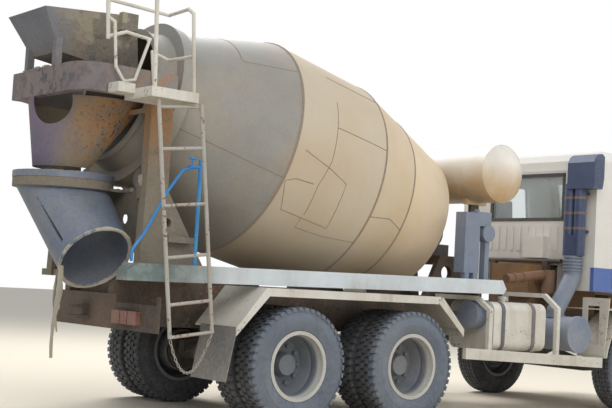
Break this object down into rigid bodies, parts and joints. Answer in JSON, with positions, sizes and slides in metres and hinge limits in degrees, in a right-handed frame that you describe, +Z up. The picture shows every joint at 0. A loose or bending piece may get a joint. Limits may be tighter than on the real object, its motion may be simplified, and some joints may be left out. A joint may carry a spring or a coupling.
{
  "type": "concrete mixer truck",
  "caption": "Cab-over truck with a tilted mixing drum turning on rollers, a charging hopper, a swivel chute, a ladder platform, a water tank and twin rear wheels.",
  "frame": {"origin": "middle of the footprint at ground level, halfway from the bumper's face to the hopper's rear lip", "axes": "+X points forward, +Y to the truck's left, +Z up; the wheels stand on Z = 0"},
  "size_m": [8.3202, 2.68, 3.6002],
  "materials": {
    "rusty_frame": "flaking dark paint over rust",
    "grey_white": "faded grey-white paint with dust",
    "cream_steel": "cream paint with chips and rust",
    "grey_steel": "dull grey paint with dust",
    "lamp_glass": "moulded lamp lens",
    "dark_iron": "oily dark iron with dirt",
    "cement_grey": "steel plate caked with cement",
    "worn_steel": "bare steel worn by wet concrete",
    "cement_tan": "tan paint under a cement film",
    "rust_brown": "heavy rust under cement splashes",
    "ladder_steel": "grey-white paint worn to rust",
    "tyre": "dusty rubber",
    "rim_steel": "pale paint with dust and rust",
    "engine_rust": "rusty cast iron",
    "blue_plastic": "dark blue-grey moulded duct",
    "cab_cream": "cream paint, slightly chalky",
    "cab_glass": "lightly dusty window glass",
    "black_plastic": "black moulded plastic and vinyl"
  },
  "bodies": {
    "chassis": {"frame": "rusty_frame", "subframe": "rusty_frame", "side_beams": "grey_white", "fenders": "cream_steel", "mudflaps": "grey_steel", "lamps": "lamp_glass", "drum_gearbox": "dark_iron", "rear_pedestal": "cement_grey", "hopper": "cement_grey", "hopper_beam": "rust_brown", "discharge_funnel": "rust_brown", "platform": "cream_steel", "ladder": "ladder_steel", "rear_axles": "dark_iron", "front_axle": "dark_iron", "springs": "dark_iron", "propshafts": "dark_iron", "engine": "engine_rust", "exhaust": "rust_brown", "air_cleaner": "grey_steel", "fuel_tank": "cream_steel", "side_guards": "cream_steel", "air_tanks": "grey_steel", "battery_box": "dark_iron", "oil_reservoir": "grey_steel", "water_tank": "grey_white", "bumper": "cab_cream", "wash_pipe": "blue_plastic"},
    "cab": {"cab_shell": "cab_cream", "cab_glass": "cab_glass", "cab_interior": "black_plastic", "mirrors": "black_plastic", "snorkel": "blue_plastic"},
    "right_door": {"door_r": "cab_cream"},
    "left_door": {"door_l": "cab_cream"},
    "right_knuckle": {"knuckle_r": "dark_iron"},
    "left_knuckle": {"knuckle_l": "dark_iron"},
    "front_wheel_r": {"tyre_front_r": "tyre", "rim_front_r": "rim_steel"},
    "front_wheel_l": {"tyre_front_l": "tyre", "rim_front_l": "rim_steel"},
    "mid_wheels_r": {"tyres_mid_r": "tyre", "rims_mid_r": "rim_steel"},
    "mid_wheels_l": {"tyres_mid_l": "tyre", "rims_mid_l": "rim_steel"},
    "rear_wheels_r": {"tyres_rear_r": "tyre", "rims_rear_r": "rim_steel"},
    "rear_wheels_l": {"tyres_rear_l": "tyre", "rims_rear_l": "rim_steel"},
    "mixing_drum": {"drum": "cement_tan"},
    "right_roller": {"roller_r": "worn_steel"},
    "left_roller": {"roller_l": "worn_steel"},
    "swivel_chute": {"chute": "worn_steel"}
  },
  "joints": [
    {"name": "cab_tilt", "type": "hinge", "parent": "chassis", "child": "cab", "pos_m": [3.87, 0, 1.1], "axis": [0, 1, 0], "range_deg": [0, 40]},
    {"name": "right_door_hinge", "type": "hinge", "parent": "cab", "child": "right_door", "pos_m": [3.573, -1.016, 1.8], "axis": [0, 0, 1], "range_deg": [0, 70]},
    {"name": "left_door_hinge", "type": "hinge", "parent": "cab", "child": "left_door", "pos_m": [3.573, 1.016, 1.8], "axis": [0, 0, -1], "range_deg": [0, 70]},
    {"name": "steer_r", "type": "hinge", "parent": "chassis", "child": "right_knuckle", "pos_m": [2.92, -0.9, 0.51], "axis": [0, 0, 1], "range_deg": [-33, 33]},
    {"name": "steer_l", "type": "hinge", "parent": "chassis", "child": "left_knuckle", "pos_m": [2.92, 0.9, 0.51], "axis": [0, 0, 1], "range_deg": [-33, 33]},
    {"name": "front_spin_r", "type": "hinge", "parent": "right_knuckle", "child": "front_wheel_r", "pos_m": [2.92, -1.02, 0.51], "axis": [0, 1, 0], "continuous": true},
    {"name": "front_spin_l", "type": "hinge", "parent": "left_knuckle", "child": "front_wheel_l", "pos_m": [2.92, 1.02, 0.51], "axis": [0, 1, 0], "continuous": true},
    {"name": "mid_spin_r", "type": "hinge", "parent": "chassis", "child": "mid_wheels_r", "pos_m": [-0.63, -0.93, 0.51], "axis": [0, 1, 0], "continuous": true},
    {"name": "mid_spin_l", "type": "hinge", "parent": "chassis", "child": "mid_wheels_l", "pos_m": [-0.63, 0.93, 0.51], "axis": [0, 1, 0], "continuous": true},
    {"name": "rear_spin_r", "type": "hinge", "parent": "chassis", "child": "rear_wheels_r", "pos_m": [-1.98, -0.93, 0.51], "axis": [0, 1, 0], "continuous": true},
    {"name": "rear_spin_l", "type": "hinge", "parent": "chassis", "child": "rear_wheels_l", "pos_m": [-1.98, 0.93, 0.51], "axis": [0, 1, 0], "continuous": true},
    {"name": "drum_spin", "type": "hinge", "parent": "chassis", "child": "mixing_drum", "pos_m": [-3.27, 0, 2.795], "axis": [0.9715, 0, -0.2368], "continuous": true},
    {"name": "roller_spin_r", "type": "hinge", "parent": "chassis", "child": "right_roller", "pos_m": [-3.19591, -0.49901, 2.04343], "axis": [0.9715, 0, -0.2368], "continuous": true},
    {"name": "roller_spin_l", "type": "hinge", "parent": "chassis", "child": "left_roller", "pos_m": [-3.19591, 0.49901, 2.04343], "axis": [0.9715, 0, -0.2368], "continuous": true},
    {"name": "chute_swivel", "type": "hinge", "parent": "chassis", "child": "swivel_chute", "pos_m": [-3.71, 0, 1.9], "axis": [0, 0, 1], "range_deg": [-175, 0]}
  ],
  "couplings": [
    {"joint": "steer_l", "follows": "steer_r", "ratio": 1}
  ]
}
